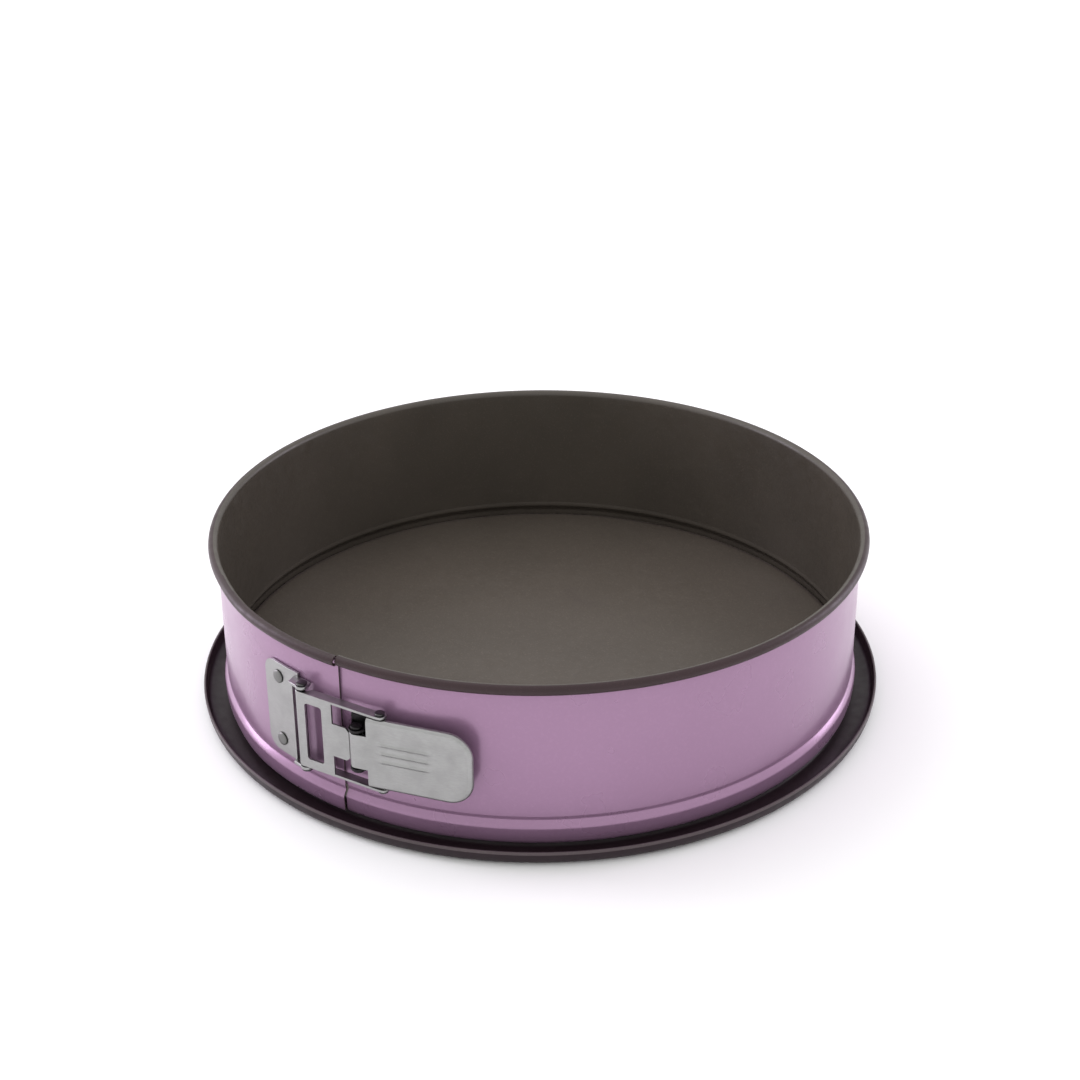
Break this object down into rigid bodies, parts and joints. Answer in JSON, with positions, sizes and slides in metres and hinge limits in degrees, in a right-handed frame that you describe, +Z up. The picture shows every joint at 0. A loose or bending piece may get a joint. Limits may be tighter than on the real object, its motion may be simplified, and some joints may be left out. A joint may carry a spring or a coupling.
{
  "type": "springform pan",
  "caption": "Round springform cake pan: rimmed base plate held in the bottom groove of a split ring that a toggle clasp with a plate lever closes.",
  "frame": {"origin": "centre of the pan on the plane it stands on", "axes": "+Z up along the pan's axis; -Y is the front, where the clasp is; +X is to the right when facing the clasp, the way the closed lever points"},
  "size_m": [0.282, 0.282, 0.0719],
  "materials": {
    "lilac_enamel": "glossy lilac coating outside, dark satin non-stick inside",
    "nonstick_base": "satin dark non-stick",
    "clasp_steel": "satin pressed steel",
    "rivet_steel": "satin",
    "pin_steel": "satin"
  },
  "bodies": {
    "base": {"base_plate": "nonstick_base"},
    "ring": {"band": "lilac_enamel", "bracket": "clasp_steel", "bracket_rivet_1": "rivet_steel", "bracket_rivet_2": "rivet_steel", "bracket_rivet_3": "rivet_steel", "bracket_rivet_4": "rivet_steel", "lever_pin": "pin_steel"},
    "band_end": {"anchor_plate": "clasp_steel", "anchor_rivet_upper": "rivet_steel", "anchor_rivet_lower": "rivet_steel", "anchor_pin": "pin_steel"},
    "lever": {"lever": "clasp_steel", "link_pin": "pin_steel"},
    "link": {"link": "clasp_steel"}
  },
  "joints": [
    {"name": "ring_lift", "type": "slide", "parent": "base", "child": "ring", "axis": [0, 0, 1], "range_m": [0, 0.09]},
    {"name": "lever_swing", "type": "hinge", "parent": "ring", "child": "lever", "pos_m": [0.00591, -0.13547, 0.0376], "axis": [0, 0, -1], "range_deg": [0, 140]},
    {"name": "link_swing", "type": "hinge", "parent": "lever", "child": "link", "pos_m": [0.01521, -0.1335, 0.0376], "axis": [0, 0, 1], "range_deg": [0, 121.99]},
    {"name": "band_end_flex", "type": "hinge", "parent": "ring", "child": "band_end", "pos_m": [0, 0.1303, 0.0376], "axis": [0, 0, -1], "range_deg": [0, 2.94], "deforming": ["band"]}
  ],
  "couplings": [
    {"joint": "link_swing", "follows": "lever_swing", "ratio": 0.87136},
    {"joint": "band_end_flex", "follows": "lever_swing", "ratio": 0.020984}
  ]
}
